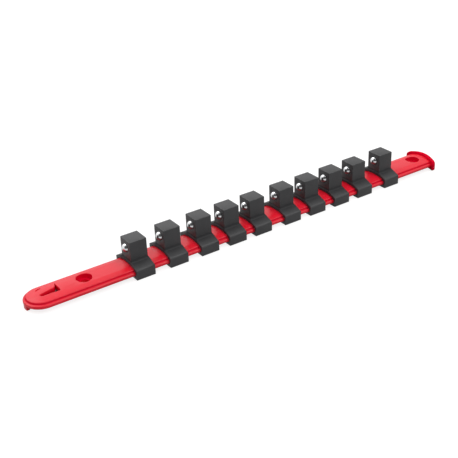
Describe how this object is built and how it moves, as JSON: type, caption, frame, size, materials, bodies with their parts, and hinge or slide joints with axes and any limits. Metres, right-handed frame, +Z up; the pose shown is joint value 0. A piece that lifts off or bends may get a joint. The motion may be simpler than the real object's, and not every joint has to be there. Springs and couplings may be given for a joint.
{
  "type": "socket rail",
  "caption": "Moulded plastic rail with sliding square posts that hold drive sockets, each post with a sprung steel ball.",
  "frame": {"origin": "middle of the rail's length and width, on the surface that it lies on", "axes": "+X along the rail from its round tip to its curved stop, +Z up out of the surface through the posts"},
  "size_m": [0.343, 0.029, 0.0243],
  "materials": {
    "red_plastic": "satin moulded red plastic",
    "black_plastic": "fine satin moulded black plastic",
    "ball_steel": "polished bearing steel",
    "spring_steel": "drawn spring wire"
  },
  "bodies": {
    "rail": {"rail": "red_plastic"},
    "clip_01": {"clip_01": "black_plastic", "spring_01": "spring_steel"},
    "ball_01": {"ball_01": "ball_steel"},
    "clip_02": {"clip_02": "black_plastic", "spring_02": "spring_steel"},
    "ball_02": {"ball_02": "ball_steel"},
    "clip_03": {"clip_03": "black_plastic", "spring_03": "spring_steel"},
    "ball_03": {"ball_03": "ball_steel"},
    "clip_04": {"clip_04": "black_plastic", "spring_04": "spring_steel"},
    "ball_04": {"ball_04": "ball_steel"},
    "clip_05": {"clip_05": "black_plastic", "spring_05": "spring_steel"},
    "ball_05": {"ball_05": "ball_steel"},
    "clip_06": {"clip_06": "black_plastic", "spring_06": "spring_steel"},
    "ball_06": {"ball_06": "ball_steel"},
    "clip_07": {"clip_07": "black_plastic", "spring_07": "spring_steel"},
    "ball_07": {"ball_07": "ball_steel"},
    "clip_08": {"clip_08": "black_plastic", "spring_08": "spring_steel"},
    "ball_08": {"ball_08": "ball_steel"},
    "clip_09": {"clip_09": "black_plastic", "spring_09": "spring_steel"},
    "ball_09": {"ball_09": "ball_steel"},
    "clip_10": {"clip_10": "black_plastic", "spring_10": "spring_steel"},
    "ball_10": {"ball_10": "ball_steel"}
  },
  "joints": [
    {"name": "clip_01_slide", "type": "slide", "parent": "rail", "child": "clip_01", "axis": [1, 0, 0], "range_m": [-0.0591, 0.005]},
    {"name": "clip_02_slide", "type": "slide", "parent": "rail", "child": "clip_02", "axis": [1, 0, 0], "range_m": [-0.005, 0.0045]},
    {"name": "clip_03_slide", "type": "slide", "parent": "rail", "child": "clip_03", "axis": [1, 0, 0], "range_m": [-0.0045, 0.0037]},
    {"name": "clip_04_slide", "type": "slide", "parent": "rail", "child": "clip_04", "axis": [1, 0, 0], "range_m": [-0.0037, 0.0031]},
    {"name": "clip_05_slide", "type": "slide", "parent": "rail", "child": "clip_05", "axis": [1, 0, 0], "range_m": [-0.0031, 0.0052]},
    {"name": "clip_06_slide", "type": "slide", "parent": "rail", "child": "clip_06", "axis": [1, 0, 0], "range_m": [-0.0052, 0.0037]},
    {"name": "clip_07_slide", "type": "slide", "parent": "rail", "child": "clip_07", "axis": [1, 0, 0], "range_m": [-0.0037, 0.0036]},
    {"name": "clip_08_slide", "type": "slide", "parent": "rail", "child": "clip_08", "axis": [1, 0, 0], "range_m": [-0.0036, 0.0036]},
    {"name": "clip_09_slide", "type": "slide", "parent": "rail", "child": "clip_09", "axis": [1, 0, 0], "range_m": [-0.0036, 0.0057]},
    {"name": "clip_10_slide", "type": "slide", "parent": "rail", "child": "clip_10", "axis": [1, 0, 0], "range_m": [-0.0057, 0.0355]},
    {"name": "ball_01_press", "type": "slide", "parent": "clip_01", "child": "ball_01", "axis": [1, 0, 0], "range_m": [0, 0.0024], "stiffness_N_per_m": 5700, "deforming": ["spring_01"]},
    {"name": "ball_02_press", "type": "slide", "parent": "clip_02", "child": "ball_02", "axis": [1, 0, 0], "range_m": [0, 0.0024], "stiffness_N_per_m": 5700, "deforming": ["spring_02"]},
    {"name": "ball_03_press", "type": "slide", "parent": "clip_03", "child": "ball_03", "axis": [1, 0, 0], "range_m": [0, 0.0024], "stiffness_N_per_m": 5700, "deforming": ["spring_03"]},
    {"name": "ball_04_press", "type": "slide", "parent": "clip_04", "child": "ball_04", "axis": [1, 0, 0], "range_m": [0, 0.0024], "stiffness_N_per_m": 5700, "deforming": ["spring_04"]},
    {"name": "ball_05_press", "type": "slide", "parent": "clip_05", "child": "ball_05", "axis": [1, 0, 0], "range_m": [0, 0.0024], "stiffness_N_per_m": 5700, "deforming": ["spring_05"]},
    {"name": "ball_06_press", "type": "slide", "parent": "clip_06", "child": "ball_06", "axis": [1, 0, 0], "range_m": [0, 0.0024], "stiffness_N_per_m": 5700, "deforming": ["spring_06"]},
    {"name": "ball_07_press", "type": "slide", "parent": "clip_07", "child": "ball_07", "axis": [1, 0, 0], "range_m": [0, 0.0024], "stiffness_N_per_m": 5700, "deforming": ["spring_07"]},
    {"name": "ball_08_press", "type": "slide", "parent": "clip_08", "child": "ball_08", "axis": [1, 0, 0], "range_m": [0, 0.0024], "stiffness_N_per_m": 5700, "deforming": ["spring_08"]},
    {"name": "ball_09_press", "type": "slide", "parent": "clip_09", "child": "ball_09", "axis": [1, 0, 0], "range_m": [0, 0.0024], "stiffness_N_per_m": 5700, "deforming": ["spring_09"]},
    {"name": "ball_10_press", "type": "slide", "parent": "clip_10", "child": "ball_10", "axis": [1, 0, 0], "range_m": [0, 0.0024], "stiffness_N_per_m": 5700, "deforming": ["spring_10"]}
  ]
}
